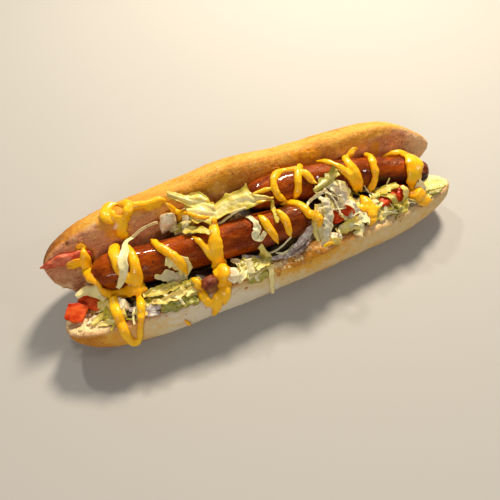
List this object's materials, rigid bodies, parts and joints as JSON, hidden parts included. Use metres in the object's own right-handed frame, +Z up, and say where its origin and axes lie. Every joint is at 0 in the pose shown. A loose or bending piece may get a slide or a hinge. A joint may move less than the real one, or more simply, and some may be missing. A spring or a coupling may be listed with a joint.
{
  "type": "merguez sandwich",
  "caption": "Long soft roll opened like a book round two grilled merguez sausages, with shredded lettuce, tomato and onion under a zigzag of yellow sauce.",
  "frame": {"origin": "centre of the base of the whole sandwich's box, on the surface it rests on", "axes": "+X along the roll, -Y towards the open front, +Y behind the raised back half, +Z up"},
  "size_m": [0.2594, 0.0838, 0.0577],
  "materials": {
    "bread": "matt golden crust dusted with flour, pale open crumb on the cut faces",
    "merguez": "glossy red-brown grilled casing with darker marks",
    "lettuce": "moist pale green shreds with whitish ribs",
    "leaf": "moist yellow-green leaf with a crinkled surface",
    "tomato": "wet orange-red flesh",
    "onion": "translucent off-white",
    "sauce": "glossy yellow-orange sauce"
  },
  "bodies": {
    "root": {"bun": "bread", "sausage_front": "merguez", "sausage_back": "merguez", "lettuce_bed": "lettuce", "tomato_1": "tomato", "tomato_2": "tomato", "tomato_3": "tomato", "tomato_4": "tomato", "tomato_5": "tomato", "tomato_6": "tomato", "onion_1": "onion", "onion_2": "onion", "onion_3": "onion", "onion_4": "onion", "leaf_1": "leaf", "leaf_2": "leaf", "leaf_3": "leaf", "leaf_4": "leaf", "leaf_5": "leaf", "leaf_6": "leaf", "leaf_7": "leaf"}
  },
  "joints": []
}
